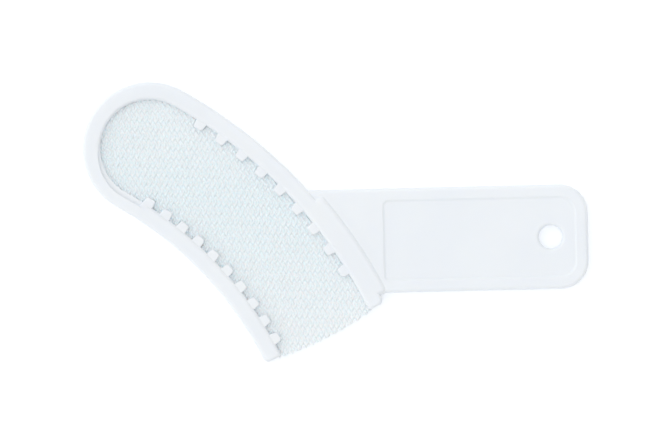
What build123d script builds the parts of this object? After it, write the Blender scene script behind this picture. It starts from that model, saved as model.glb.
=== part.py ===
# Disposable bite tray for a dental impression, of the low, sideless kind: one injection-moulded frame
# (a low curved wall, open at one end, with a flat handle) and the diamond-mesh net that the moulding
# grips at mid-height.
# Units are millimetres. +X runs along the handle away from the trough, +Z is up. The origin is the
# centre of the bounding box, on the plane that the lower rim stands on.
import math
import os

from build123d import *

# ---- trough: two concentric walls joined by a round bow -------------------------------------------
arch_radius = 85.5          # centreline of the trough, from the arch centre
near_end_angle = 25.1       # polar angle of the handle-side wall's free end, degrees from +X
far_end_angle = 24.8        # the same for the concave-side wall
bow_angle = 59.6            # polar angle where the walls run into the round bow
trough_half_width = 9.85    # arch centreline to a wall's inner face, at the net
wall_height = 1.5           # net plane to a rim, the same above and below
trough_overrun = 9          # the trough is cut this far past the free ends
wall_width = 3.5            # wall thickness at the net plane
wall_draft = 1.0            # degrees that both faces of a wall lean in towards the rims
end_corner_radius = 1.2     # plan rounding of the outer corners at the free ends
inner_corner_radius = 0.7   # rounding of the inner corners at the free ends
rim_rounding = 0.65

# ---- net ------------------------------------------------------------------------------------------
net_thickness = 0.4
net_grip = 0.6              # depth of net moulded into the wall
net_overhang = 0.2          # trimmed edge past the walls' free ends
net_end_bulge = 0.9         # the same at mid-width, where the edge bows outward

# ---- teeth and ledge that clamp the net -------------------------------------------------------------
tooth_count = 10            # on the concave-side wall; the handle-side wall leaves out the first
tooth_end_gap = 2.55        # degrees from the free ends to the middle of the first tooth
tooth_bow_gap = 3.9         # degrees from the middle of the last tooth to the bow
tooth_length = 1.5          # wall to tip
tooth_tip_width = 1.9
tooth_side_angle = 82       # between a tooth's side and the wall, degrees
tooth_drop = 0.2            # top of a tooth below the rim
tooth_root = 1.3            # run-in behind the wall's inner face
tooth_tip_rounding = 0.4
tooth_edge_rounding = 0.25
ledge_width = 1.1           # the rim steps back this far above the ledge
ledge_rise = 0.7            # above the net's face
ledge_end_direction = 163   # direction from the bow's centre where the ledge fades into the wall
ledge_clearance = 0.5       # the step is cut this far past the wall's inner face

# ---- handle -----------------------------------------------------------------------------------------
handle_end_gap = 1.95       # free end's outer corner to the handle's lower edge, along Y
handle_length = 41.95       # wall to the handle's end, along its lower edge
handle_width = 20.9
handle_thickness = 2.4
handle_corner_radius = 5.6
handle_edge_rounding = 0.8
handle_root_overlap = 1.5   # run-in behind the wall's outer face
panel_margin = 2.3          # raised border round the recessed panel
panel_gap = 0.45            # shoulder's foot to the panel's square end, at the panel's lower edge
panel_depth = 0.2
panel_corner_radius = 3.3
panel_root_corner_radius = 1.2
panel_draft = 65            # slope of the panel's side walls, degrees off vertical
hole_radius = 2.3
hole_edge_distance = 7.5    # hole centre to the handle's end
hole_edge_rounding = 0.7

# ---- shoulder that backs the wall where the handle joins it -------------------------------------------
shoulder_depth = 1.45       # wall's outer face to the shoulder's foot on the handle
shoulder_edge_gap = 0.3     # shoulder's ends to the handle's edges, along Y
shoulder_root = 0.1         # run-in behind the rim's outer rounding
shoulder_side = 0.2         # upright part of the shoulder's side, beside the net plane
shoulder_corner_allowance = 0.05

# ---- worked out from the sizes above --------------------------------------------------------------------
band_half_width = trough_half_width + wall_width
wall_lean = wall_height * math.tan(math.radians(wall_draft))
end_corner_centre = arch_radius - band_half_width + end_corner_radius
end_corner_angle = math.radians(far_end_angle) + math.asin(end_corner_radius / end_corner_centre)

# Teeth and handle, seen from the arch centre.
tooth_first_angle = near_end_angle + tooth_end_gap
tooth_last_angle = bow_angle - tooth_bow_gap
tooth_pitch = (tooth_last_angle - tooth_first_angle) / (tooth_count - 1)
wall_outer_radius = arch_radius + band_half_width
shoulder_rounding = wall_height - shoulder_side
shoulder_foot_radius = wall_outer_radius + shoulder_depth
shoulder_step = wall_height - handle_thickness / 2
roll_off_run = math.sqrt(shoulder_rounding ** 2 - (shoulder_rounding - shoulder_step) ** 2)
shoulder_radius = shoulder_foot_radius + shoulder_rounding - roll_off_run
handle_low_y = wall_outer_radius * math.sin(math.radians(near_end_angle)) + handle_end_gap
handle_high_y = handle_low_y + handle_width
handle_reach = math.sqrt(wall_outer_radius ** 2 - handle_low_y ** 2) + handle_length
panel_low_y = handle_low_y + panel_margin
panel_root_reach = math.sqrt(shoulder_foot_radius ** 2 - panel_low_y ** 2) + panel_gap
shoulder_first_angle = math.degrees(math.asin((handle_low_y + shoulder_edge_gap) / shoulder_radius))
shoulder_last_angle = math.degrees(math.asin((handle_high_y - shoulder_edge_gap) / shoulder_radius))

# Bounding box seen from the arch centre: the bow, the handle's end and the concave wall's rounded end.
bow_x = arch_radius * math.cos(math.radians(bow_angle))
bow_y = arch_radius * math.sin(math.radians(bow_angle))
left_reach = bow_x - band_half_width
top_reach = bow_y + band_half_width
bottom_reach = end_corner_centre * math.sin(end_corner_angle) - end_corner_radius
arch_x = -(left_reach + handle_reach) / 2
arch_y = -(top_reach + bottom_reach) / 2
arch_centre = (arch_x, arch_y)
bow_centre = (arch_x + bow_x, arch_y + bow_y)
net_plane = Plane.XY.offset(wall_height)


def polar(radius, angle):
    """Point at a radius and polar angle (degrees) about the arch centre."""
    turn = math.radians(angle)
    return (arch_x + radius * math.cos(turn), arch_y + radius * math.sin(turn))


def bow_point(radius, direction):
    """Point at a radius and direction (degrees) about the bow's centre."""
    turn = math.radians(direction)
    return (bow_centre[0] + radius * math.cos(turn), bow_centre[1] + radius * math.sin(turn))


def walls_and_bow(half_width, setback=0):
    """Draw both sides of a band and its bow, setback short of the free ends. Returns its two ends."""
    setback_angle = math.degrees(setback / arch_radius)
    near_angle = near_end_angle + setback_angle
    far_angle = far_end_angle + setback_angle
    CenterArc(arch_centre, arch_radius + half_width, near_angle, bow_angle - near_angle)
    CenterArc(bow_centre, half_width, bow_angle, 180)
    CenterArc(arch_centre, arch_radius - half_width, far_angle, bow_angle - far_angle)
    return polar(arch_radius + half_width, near_angle), polar(arch_radius - half_width, far_angle)


def end_point(half_width, setback=0):
    """Point setback short of the free ends' line: half_width is negative on the concave side."""
    near_share = (half_width / band_half_width + 1) / 2
    end_angle = far_end_angle + near_share * (near_end_angle - far_end_angle)
    return polar(arch_radius + half_width, end_angle + math.degrees(setback / arch_radius))


# ---- net ------------------------------------------------------------------------------------------
net_half_width = trough_half_width + net_grip

with BuildPart() as bite_net:
    with BuildSketch(Plane.XY.offset(wall_height - net_thickness / 2)):
        with BuildLine():
            near_corner, far_corner = walls_and_bow(net_half_width, -net_overhang)
            near_foot = end_point(trough_half_width, -net_overhang)
            far_foot = end_point(-trough_half_width, -net_overhang)
            Line(near_corner, near_foot)
            ThreePointArc(near_foot, end_point(0, -net_end_bulge), far_foot)
            Line(far_foot, far_corner)
        make_face()
    extrude(amount=net_thickness)

# ---- shoulder: flush with the rims, and rolled off towards the handle --------------------------------
with BuildPart() as shoulder:
    with BuildSketch(net_plane) as shoulder_plan:
        with BuildLine():
            shoulder_sweep = shoulder_last_angle - shoulder_first_angle
            root_radius = wall_outer_radius - wall_lean - rim_rounding - shoulder_root
            CenterArc(arch_centre, root_radius, shoulder_first_angle, shoulder_sweep)
            CenterArc(arch_centre, shoulder_radius, shoulder_first_angle, shoulder_sweep)
            Line(polar(root_radius, shoulder_first_angle), polar(shoulder_radius, shoulder_first_angle))
            Line(polar(root_radius, shoulder_last_angle), polar(shoulder_radius, shoulder_last_angle))
        make_face()
        shoulder_corners = shoulder_plan.vertices().sort_by_distance(arch_centre + (wall_height,))[-2:]
        fillet(shoulder_corners, shoulder_rounding + shoulder_corner_allowance)
    extrude(amount=wall_height, both=True)
    for rim_face in (shoulder.faces().sort_by(Axis.Z)[0], shoulder.faces().sort_by(Axis.Z)[-1]):
        outer_edge = rim_face.edges().filter_by(GeomType.CIRCLE).sort_by(SortBy.RADIUS)[-1]
        fillet(outer_edge, shoulder_rounding)

# ---- handle ---------------------------------------------------------------------------------------
handle_end_x = arch_x + handle_reach
handle_y = arch_y + handle_low_y + handle_width / 2
hole_centre = (handle_end_x - hole_edge_distance, handle_y)
panel_root_x = arch_x + panel_root_reach
panel_end_x = handle_end_x - panel_margin
panel_half_width = handle_width / 2 - panel_margin


def is_hole_mouth(edge):
    """Whether an edge is a mouth of the hang hole."""
    return edge.geom_type == GeomType.CIRCLE and abs(edge.radius - hole_radius) < 1e-6


with BuildPart() as handle:
    with BuildSketch(net_plane) as handle_plan:
        with Locations((handle_end_x - handle_reach / 2, handle_y)):
            Rectangle(handle_reach, handle_width)
        fillet(handle_plan.vertices().group_by(Axis.X)[-1], handle_corner_radius)
        with Locations(arch_centre):
            Circle(wall_outer_radius - handle_root_overlap, mode=Mode.SUBTRACT)
    extrude(amount=handle_thickness / 2, both=True)
    flat_edges = handle.faces().filter_by(Axis.Z).edges()
    root_edges = flat_edges.filter_by(GeomType.CIRCLE).sort_by(SortBy.RADIUS)[-2:]
    fillet(flat_edges - root_edges, handle_edge_rounding)
    for side in (1, -1):
        face_height = wall_height + side * handle_thickness / 2
        with BuildSketch(Plane.XY.offset(face_height)) as panel:
            with Locations(((panel_root_x + panel_end_x) / 2, handle_y)):
                Rectangle(panel_end_x - panel_root_x, 2 * panel_half_width)
            fillet(panel.vertices().group_by(Axis.X)[-1], panel_corner_radius)
            fillet(panel.vertices().group_by(Axis.X)[0], panel_root_corner_radius)
        extrude(amount=-side * panel_depth, taper=panel_draft, mode=Mode.SUBTRACT)
    with Locations((*hole_centre, wall_height)):
        Cylinder(hole_radius, handle_thickness, mode=Mode.SUBTRACT)
    fillet(handle.edges().filter_by(is_hole_mouth), hole_edge_rounding)

# ---- teeth ----------------------------------------------------------------------------------------
tooth_middle = (tooth_root - tooth_length) / 2
tooth_run = tooth_length + tooth_root
tooth_root_width = tooth_tip_width + 2 * tooth_run / math.tan(math.radians(tooth_side_angle))
tooth_height = wall_height - tooth_drop
tooth_sweep = tooth_last_angle - tooth_first_angle

with BuildPart() as teeth:
    with BuildSketch(net_plane) as tooth_plan:
        with Locations(arch_centre):
            with PolarLocations(arch_radius - trough_half_width - tooth_middle, tooth_count,
                                start_angle=tooth_first_angle, angular_range=tooth_sweep, endpoint=True):
                Trapezoid(tooth_root_width, tooth_run, tooth_side_angle, rotation=-90)
            with PolarLocations(arch_radius + trough_half_width + tooth_middle, tooth_count - 1,
                                start_angle=tooth_first_angle + tooth_pitch,
                                angular_range=tooth_sweep - tooth_pitch, endpoint=True):
                Trapezoid(tooth_root_width, tooth_run, tooth_side_angle, rotation=90)
        fillet(tooth_plan.vertices(), tooth_tip_rounding)
    extrude(amount=tooth_height, both=True)
    tooth_faces = teeth.faces().filter_by(Axis.Z)
    fillet(tooth_faces.edges(), tooth_edge_rounding)

# ---- ledge on the bow's far side: the step cut from the wall above and below it ------------------------
step_radius = arch_radius - trough_half_width - ledge_width
step_sweep = bow_angle - tooth_last_angle
step_direction = (-math.sin(math.radians(bow_angle)), math.cos(math.radians(bow_angle)))
open_half_width = trough_half_width - ledge_clearance
open_radius = arch_radius - open_half_width
ledge_height = net_thickness / 2 + ledge_rise

with BuildPart() as ledge_steps:
    for side in (1, -1):
        with BuildSketch(Plane.XY.offset(wall_height + side * ledge_height)):
            with BuildLine():
                CenterArc(arch_centre, step_radius, tooth_last_angle, step_sweep)
                step_end = bow_point(trough_half_width, ledge_end_direction)
                TangentArc(polar(step_radius, bow_angle), step_end, tangent=step_direction)
                Line(step_end, bow_point(open_half_width, ledge_end_direction))
                CenterArc(bow_centre, open_half_width, ledge_end_direction,
                          bow_angle + 180 - ledge_end_direction)
                CenterArc(arch_centre, open_radius, tooth_last_angle, step_sweep)
                Line(polar(open_radius, tooth_last_angle), polar(step_radius, tooth_last_angle))
            make_face()
        extrude(amount=side * wall_height)


# ---- frame: walls first, then everything moulded with them ----------------------------------------

def is_inner_end_corner(edge):
    """Whether an edge climbs a free end between a wall's inner face and its end face."""
    middle = edge.center() - Vector(arch_x, arch_y, 0)
    distance = math.hypot(middle.X, middle.Y)
    angle = math.degrees(math.atan2(middle.Y, middle.X))
    on_inner_face = abs(distance - arch_radius) < trough_half_width + wall_width / 4
    climbs = edge.bounding_box().size.Z > wall_height / 2
    return on_inner_face and climbs and angle < tooth_first_angle


with BuildPart() as tray_frame:
    with BuildSketch(net_plane) as band_plan:
        with BuildLine():
            Line(*walls_and_bow(band_half_width))
        make_face()
        fillet(band_plan.vertices().sort_by(Axis.Y)[:1] + band_plan.vertices().sort_by(Axis.X)[-1:],
               end_corner_radius)
    extrude(amount=wall_height, both=True, taper=wall_draft)
    with BuildSketch(net_plane):
        with BuildLine():
            Line(*walls_and_bow(trough_half_width, -trough_overrun))
        make_face()
    extrude(amount=wall_height, both=True, taper=-wall_draft, mode=Mode.SUBTRACT)
    fillet(tray_frame.edges().filter_by(is_inner_end_corner), inner_corner_radius)
    rims = (tray_frame.faces().sort_by(Axis.Z)[0], tray_frame.faces().sort_by(Axis.Z)[-1])
    fillet(rims[0].edges() + rims[1].edges(), rim_rounding)
    add(ledge_steps.part, mode=Mode.SUBTRACT)
    add(shoulder.part)
    add(handle.part)
    add(teeth.part)
    add(bite_net.part, mode=Mode.SUBTRACT)

tray_frame.part.label = "tray_frame"
bite_net.part.label = "bite_net"
os.makedirs("parts", exist_ok=True)
export_step(tray_frame.part, "parts/tray_frame.step")
export_step(bite_net.part, "parts/bite_net.step")
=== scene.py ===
# Looks of the bite tray: moulded white frame, woven net, pale floor, soft light and camera.
# Everything is in metres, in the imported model's own frame.
import math

import bpy
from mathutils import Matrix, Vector, noise
from mathutils.bvhtree import BVHTree


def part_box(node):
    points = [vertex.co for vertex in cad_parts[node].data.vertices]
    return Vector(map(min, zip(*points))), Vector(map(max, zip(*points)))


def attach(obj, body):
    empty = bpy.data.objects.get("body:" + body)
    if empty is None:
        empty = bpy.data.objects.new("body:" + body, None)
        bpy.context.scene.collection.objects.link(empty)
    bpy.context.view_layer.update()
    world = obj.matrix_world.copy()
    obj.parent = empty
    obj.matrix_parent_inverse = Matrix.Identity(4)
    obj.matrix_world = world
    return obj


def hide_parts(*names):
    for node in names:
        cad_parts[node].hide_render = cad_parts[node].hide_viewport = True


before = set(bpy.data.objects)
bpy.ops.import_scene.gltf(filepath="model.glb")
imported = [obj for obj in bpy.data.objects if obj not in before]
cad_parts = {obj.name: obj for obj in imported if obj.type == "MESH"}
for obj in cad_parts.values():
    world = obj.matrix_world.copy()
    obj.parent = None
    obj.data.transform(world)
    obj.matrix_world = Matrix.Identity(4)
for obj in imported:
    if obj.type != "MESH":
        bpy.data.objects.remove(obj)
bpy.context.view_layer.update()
MM = 0.001


tray_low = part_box("tray_frame")[0]
net_low, net_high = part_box("bite_net")
net_height = (net_low[2] + net_high[2]) / 2

# ---- camera: straight down from a long way off, the handle turned a little off the picture's edge ----
CAMERA_DISTANCE = 1.0            # camera to the net plane
VIEW_WIDTH = 129.0 * MM          # what the picture's width covers at the net plane
VIEW_ROLL = math.radians(1.33)
VIEW_CENTRE = (-2.71 * MM, 0.68 * MM)
SENSOR_WIDTH = 36.0              # camera sensor, in millimetres as Blender counts it


def make_camera():
    """Camera of the product view."""
    data = bpy.data.cameras.new("camera")
    data.sensor_width = SENSOR_WIDTH
    data.lens = data.sensor_width * CAMERA_DISTANCE / VIEW_WIDTH
    camera = bpy.data.objects.new("camera", data)
    camera.location = (*VIEW_CENTRE, net_height + CAMERA_DISTANCE)
    camera.rotation_euler = (0, 0, -VIEW_ROLL)
    bpy.context.scene.collection.objects.link(camera)
    bpy.context.scene.camera = camera


# ---- node helpers --------------------------------------------------------------------------------
class Nodes:
    """A material's node tree with short calls to add and join nodes."""

    def __init__(self, tree):
        self.tree = tree
        self.tree.nodes.clear()

    def add(self, kind, **settings):
        """Add a node and set its attributes."""
        node = self.tree.nodes.new(kind)
        for name, value in settings.items():
            setattr(node, name, value)
        return node

    def join(self, source, target):
        """Join an output socket to an input socket."""
        self.tree.links.new(source, target)

    def noise(self, where, scale, detail):
        """Noise value over a position socket; scale is in cycles per metre."""
        node = self.add("ShaderNodeTexNoise")
        node.inputs["Scale"].default_value = scale
        node.inputs["Detail"].default_value = detail
        self.join(where, node.inputs["Vector"])
        return node.outputs["Fac"]

    def spread(self, value, low, high, to_low, to_high):
        """Map a value from one range to another, clamped."""
        node = self.add("ShaderNodeMapRange")
        for name, number in zip(("From Min", "From Max", "To Min", "To Max"), (low, high, to_low, to_high)):
            node.inputs[name].default_value = number
        self.join(value, node.inputs["Value"])
        return node.outputs["Result"]

    def math(self, operation, first, second):
        """Combine two values; either may be a plain number."""
        node = self.add("ShaderNodeMath", operation=operation)
        for socket, value in zip(node.inputs, (first, second)):
            if isinstance(value, (int, float)):
                socket.default_value = value
            else:
                self.join(value, socket)
        return node.outputs["Value"]

    def blend(self, share, first, second):
        """Mix two plain colours."""
        node = self.add("ShaderNodeMix", data_type="RGBA")
        self.join(share, node.inputs["Factor"])
        for name, colour in (("A", first), ("B", second)):
            socket = [item for item in node.inputs if item.name == name and item.type == "RGBA"][0]
            socket.default_value = (*colour, 1.0)
        return [item for item in node.outputs if item.type == "RGBA"][0]

    def bump(self, height, distance, strength, under=None):
        """Bump whose height socket is scaled to a distance in metres."""
        node = self.add("ShaderNodeBump")
        node.inputs["Strength"].default_value = strength
        node.inputs["Distance"].default_value = distance
        self.join(height, node.inputs["Height"])
        if under is not None:
            self.join(under, node.inputs["Normal"])
        return node.outputs["Normal"]


def new_material(name):
    """An empty node material, its nodes, and a Principled shader joined to its output."""
    material = bpy.data.materials.new(name)
    material.use_nodes = True
    nodes = Nodes(material.node_tree)
    shader = nodes.add("ShaderNodeBsdfPrincipled")
    output = nodes.add("ShaderNodeOutputMaterial")
    nodes.join(shader.outputs["BSDF"], output.inputs["Surface"])
    return material, nodes, shader


def wear(piece, material):
    """Give a piece this one material."""
    piece.data.materials.clear()
    piece.data.materials.append(material)


# ---- frame: smooth moulded white plastic, a little translucent -----------------------------------
# Every noise scale is in cycles per metre, and every bump distance in metres.
PLASTIC_LIGHT = (0.863, 0.897, 0.937)
PLASTIC_SHADE = (0.846, 0.882, 0.926)
PLASTIC_ROUGHNESS = (0.30, 0.42)
FLOW_CLOUD_SCALE = 70
SATIN_PATCH_SCALE = 260
RIPPLE_SCALE = 320
RIPPLE_DEPTH = 0.02 * MM
GRAIN_SCALE = 9000
GRAIN_DEPTH = 0.004 * MM
PLASTIC_SCATTER = (1.0, 1.05, 1.15)    # how far red, green and blue light spread, in scatter depths
PLASTIC_SCATTER_DEPTH = 1.0 * MM
PLASTIC_SCATTER_WEIGHT = 0.35
PLASTIC_IOR = 1.5


def frame_plastic():
    """White moulded plastic: faint flow clouds, satin grain and a slow ripple."""
    material, nodes, shader = new_material("frame_plastic")
    place = nodes.add("ShaderNodeTexCoord").outputs["Object"]
    clouds = nodes.noise(place, FLOW_CLOUD_SCALE, detail=3)
    colour = nodes.blend(nodes.spread(clouds, 0.35, 0.65, 0, 1), PLASTIC_LIGHT, PLASTIC_SHADE)
    nodes.join(colour, shader.inputs["Base Color"])
    patches = nodes.noise(place, SATIN_PATCH_SCALE, detail=4)
    nodes.join(nodes.spread(patches, 0.3, 0.7, *PLASTIC_ROUGHNESS), shader.inputs["Roughness"])
    ripple = nodes.bump(nodes.noise(place, RIPPLE_SCALE, detail=1), RIPPLE_DEPTH, 0.6)
    grain = nodes.bump(nodes.noise(place, GRAIN_SCALE, detail=2), GRAIN_DEPTH, 0.5, under=ripple)
    nodes.join(grain, shader.inputs["Normal"])
    shader.inputs["Subsurface Weight"].default_value = PLASTIC_SCATTER_WEIGHT
    shader.inputs["Subsurface Radius"].default_value = PLASTIC_SCATTER
    shader.inputs["Subsurface Scale"].default_value = PLASTIC_SCATTER_DEPTH
    shader.inputs["IOR"].default_value = PLASTIC_IOR
    return material


# ---- net: two families of flattened threads woven over and under each other ----------------------
LEFT_STEP = Vector((0.5627, -0.9413)) * MM       # from one crossing to the next along a "\" thread
RIGHT_STEP = Vector((0.4925, 0.8893)) * MM       # the same along a "/" thread
THREAD_WIDTH = 0.58 * MM
THREAD_THICKNESS = 0.27 * MM
WEAVE_RISE = 0.07 * MM                            # a thread's middle above or below the net plane
STEPS_PER_CROSSING = 4
THREAD_SIDES = 8
WANDER = 0.03 * MM
WANDER_SCALE = 260                                # cycles per metre
WANDER_SEED = 7                                   # keeps the straying the same on every run
EDGE_HALVINGS = 12                                # how often the search for the net's edge halves its step
FEWEST_POINTS = 4                                 # a shorter stretch of thread at the edge is left out


def plan_test(node):
    """A function that says whether a point in plan lies within this CAD node."""
    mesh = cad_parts[node].data
    places = [vertex.co for vertex in mesh.vertices]
    faces = [polygon.vertices[:] for polygon in mesh.polygons]
    tree = BVHTree.FromPolygons(places, faces)
    above = net_high[2] + 1 * MM

    def inside(point):
        hit = tree.ray_cast(Vector((point.x, point.y, above)), Vector((0, 0, -1)))
        return hit[0] is not None

    return inside


def wandering(point):
    """The point moved a little in plan, as real threads stray from their lattice."""
    shift = noise.noise_vector(Vector((point.x, point.y, 0)) * WANDER_SCALE)
    return Vector((point.x + WANDER * shift.x, point.y + WANDER * shift.y))


def edge_share(inside, place, within, beyond):
    """Thread parameter at the net's edge, between one inside it and one beyond."""
    for _ in range(EDGE_HALVINGS):
        middle = (within + beyond) / 2
        if inside(place(middle)):
            within = middle
        else:
            beyond = middle
    return within


def runs(inside, place, count):
    """Stretches of a thread that lie within the net, each as a list of thread parameters."""
    found = []
    current = []
    before = None
    for number in range(-count * STEPS_PER_CROSSING, count * STEPS_PER_CROSSING + 1):
        share = number / STEPS_PER_CROSSING
        if inside(place(share)):
            if not current and before is not None:
                current.append(edge_share(inside, place, share, before))
            current.append(share)
        elif current:
            current.append(edge_share(inside, place, before, share))
            found.append(current)
            current = []
        before = share
    return [run for run in found if len(run) >= FEWEST_POINTS]


class Tubes:
    """Collects flattened tubes into one mesh."""

    def __init__(self):
        self.points = []
        self.faces = []

    def add(self, path, width, thickness):
        """A closed tube along the path, with an oval section of this width and thickness."""
        first = len(self.points)
        count = len(path)
        for number, point in enumerate(path):
            ahead = path[min(number + 1, count - 1)]
            behind = path[max(number - 1, 0)]
            along = (ahead - behind).normalized()
            side = Vector((0, 0, 1)).cross(along).normalized()
            up = along.cross(side)
            for corner in range(THREAD_SIDES):
                turn = 2 * math.pi * (corner + 0.5) / THREAD_SIDES
                offset = side * (math.cos(turn) * width / 2) + up * (math.sin(turn) * thickness / 2)
                self.points.append(point + offset)
        for number in range(count - 1):
            ring = first + number * THREAD_SIDES
            for corner in range(THREAD_SIDES):
                beside = (corner + 1) % THREAD_SIDES
                self.faces.append((ring + corner, ring + beside,
                                   ring + THREAD_SIDES + beside, ring + THREAD_SIDES + corner))
        last = first + (count - 1) * THREAD_SIDES
        self.faces.append(tuple(first + corner for corner in reversed(range(THREAD_SIDES))))
        self.faces.append(tuple(last + corner for corner in range(THREAD_SIDES)))

    def make(self, name):
        """The finished object, smooth-shaded."""
        mesh = bpy.data.meshes.new(name)
        mesh.from_pydata([tuple(point) for point in self.points], [], self.faces)
        mesh.polygons.foreach_set("use_smooth", [len(face) == 4 for face in self.faces])
        mesh.validate()
        piece = bpy.data.objects.new(name, mesh)
        bpy.context.scene.collection.objects.link(piece)
        return piece


def make_net():
    """The woven net, cut to the outline of its CAD node."""
    noise.seed_set(WANDER_SEED)
    inside = plan_test("bite_net")
    middle = (net_low + net_high) / 2
    reach = (net_high - net_low).length
    tubes = Tubes()
    families = ((LEFT_STEP, RIGHT_STEP, 1), (RIGHT_STEP, LEFT_STEP, -1))
    for along, across, rises in families:
        lines = math.ceil(reach / across.length)
        crossings = math.ceil(reach / along.length)
        for line in range(-lines, lines + 1):
            start = Vector((middle.x, middle.y)) + across * line

            def place(share):
                return wandering(start + along * share)

            for run in runs(inside, place, crossings):
                path = []
                for share in run:
                    point = place(share)
                    height = net_height + rises * WEAVE_RISE * math.cos(math.pi * (share + line))
                    path.append(Vector((point.x, point.y, height)))
                tubes.add(path, THREAD_WIDTH, THREAD_THICKNESS)
    return tubes.make("net_threads")


# Painted lit and painted shaded tones of the net: the blend paints light towards both ends and shade across
# the middle, and a random drift mixes the same two tones.
NET_PAINTED_LIT = (0.885, 0.960, 0.995)
NET_PAINTED_SHADE = (0.828, 0.936, 0.990)
NET_ROUGHNESS = (0.28, 0.45)
PAINTED_SHADE_Y = 4 * MM
PAINTED_LIGHT_REACH = 26 * MM     # along Y, from the middle of the painted shade to where the painted light is palest
END_PAINTED_LIGHT = 0.8
DRIFT_PALENESS = 0.2
DRIFT_SCALE = 90
SHEEN_PATCH_SCALE = 900
DRAW_LINE_SCALE = 16000
DRAW_LINE_DEPTH = 0.004 * MM
NET_SCATTER = (0.8, 1.0, 1.1)    # how far red, green and blue light spread, in scatter depths
NET_SCATTER_DEPTH = 0.2 * MM
NET_SCATTER_WEIGHT = 0.5
NYLON_IOR = 1.53


def net_nylon():
    """Bluish-white monofilament: painted light makes it paler towards both ends and painted shade darker in
    the middle, with a slow random drift in tone and fine draw lines.
    """
    material, nodes, shader = new_material("net_nylon")
    place = nodes.add("ShaderNodeTexCoord").outputs["Object"]
    apart = nodes.add("ShaderNodeSeparateXYZ")
    nodes.join(place, apart.inputs["Vector"])
    # Painted light and shade: darkest across the net's middle along Y, paler towards both ends.
    from_middle = nodes.math("ABSOLUTE", nodes.math("SUBTRACT", apart.outputs["Y"], PAINTED_SHADE_Y), 0)
    painted_light = nodes.spread(from_middle, 0, PAINTED_LIGHT_REACH, 0, END_PAINTED_LIGHT)
    drift = nodes.spread(nodes.noise(place, DRIFT_SCALE, detail=3), 0.3, 0.7, 0, DRIFT_PALENESS)
    colour = nodes.blend(nodes.math("ADD", painted_light, drift), NET_PAINTED_SHADE, NET_PAINTED_LIT)
    nodes.join(colour, shader.inputs["Base Color"])
    patches = nodes.noise(place, SHEEN_PATCH_SCALE, detail=2)
    nodes.join(nodes.spread(patches, 0.3, 0.7, *NET_ROUGHNESS), shader.inputs["Roughness"])
    lines = nodes.bump(nodes.noise(place, DRAW_LINE_SCALE, detail=2), DRAW_LINE_DEPTH, 0.6)
    nodes.join(lines, shader.inputs["Normal"])
    shader.inputs["Subsurface Weight"].default_value = NET_SCATTER_WEIGHT
    shader.inputs["Subsurface Radius"].default_value = NET_SCATTER
    shader.inputs["Subsurface Scale"].default_value = NET_SCATTER_DEPTH
    shader.inputs["IOR"].default_value = NYLON_IOR
    return material


# ---- surroundings --------------------------------------------------------------------------------
FLOOR_SIZE = 4.0
FLOOR_COLOUR = (0.74, 0.75, 0.765)
FLOOR_GLOW = (0.35, 0.36, 0.37)
FIBRE_PALENESS = 0.01             # how much paler the paper's fibres are than the floor
FIBRE_SCALE = 400
FLOOR_GAP = 0.01 * MM             # below the lower rim, so that the two faces don't coincide
SKY_STRENGTH = 0.66
SKY_LEAN = (-0.30, 0.12, 0.48)    # how much brighter the surroundings are towards each axis
KEY_PLACE = (-0.7, 0.35, 1.1)
KEY_SIZE = 0.8
KEY_POWER = 0.4                   # watts


def make_floor():
    """Pale floor that the tray lies on."""
    mesh = bpy.data.meshes.new("floor")
    half = FLOOR_SIZE / 2
    square = [(-half, -half, 0), (half, -half, 0), (half, half, 0), (-half, half, 0)]
    mesh.from_pydata(square, [], [(0, 1, 2, 3)])
    floor = bpy.data.objects.new("floor", mesh)
    floor.location.z = tray_low[2] - FLOOR_GAP
    bpy.context.scene.collection.objects.link(floor)
    material, nodes, shader = new_material("floor_paper")
    place = nodes.add("ShaderNodeTexCoord").outputs["Object"]
    fibres = nodes.noise(place, FIBRE_SCALE, detail=4)
    paler = tuple(value + FIBRE_PALENESS for value in FLOOR_COLOUR)
    nodes.join(nodes.blend(fibres, FLOOR_COLOUR, paler), shader.inputs["Base Color"])
    shader.inputs["Roughness"].default_value = 0.9
    shader.inputs["Specular IOR Level"].default_value = 0.0
    shader.inputs["Emission Color"].default_value = (*FLOOR_GLOW, 1)
    shader.inputs["Emission Strength"].default_value = 1.0
    wear(floor, material)


def make_key_light():
    """Faint square soft box aimed at the middle of the tray."""
    data = bpy.data.lights.new("key_box", "AREA")
    data.size = KEY_SIZE
    data.energy = KEY_POWER
    light = bpy.data.objects.new("key_box", data)
    light.location = KEY_PLACE
    towards = Vector((0, 0, 0)) - Vector(KEY_PLACE)
    light.rotation_mode = "QUATERNION"
    light.rotation_quaternion = towards.to_track_quat("-Z", "Y")
    bpy.context.scene.collection.objects.link(light)


def make_world():
    """Soft surroundings, brighter overhead and a little to the left, as from large diffusers."""
    world = bpy.data.worlds.new("world")
    world.use_nodes = True
    nodes = Nodes(world.node_tree)
    direction = nodes.add("ShaderNodeTexCoord").outputs["Generated"]
    lean = nodes.add("ShaderNodeVectorMath", operation="DOT_PRODUCT")
    nodes.join(direction, lean.inputs[0])
    lean.inputs[1].default_value = SKY_LEAN
    background = nodes.add("ShaderNodeBackground")
    background.inputs["Color"].default_value = (1.0, 1.0, 1.0, 1.0)
    nodes.join(nodes.math("ADD", lean.outputs["Value"], SKY_STRENGTH), background.inputs["Strength"])
    output = nodes.add("ShaderNodeOutputWorld")
    nodes.join(background.outputs["Background"], output.inputs["Surface"])
    bpy.context.scene.world = world


make_camera()
make_world()
make_key_light()
make_floor()
bpy.context.scene.view_settings.view_transform = "Standard"

wear(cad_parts["tray_frame"], frame_plastic())
net = make_net()
wear(net, net_nylon())
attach(net, "root")
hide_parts("bite_net")
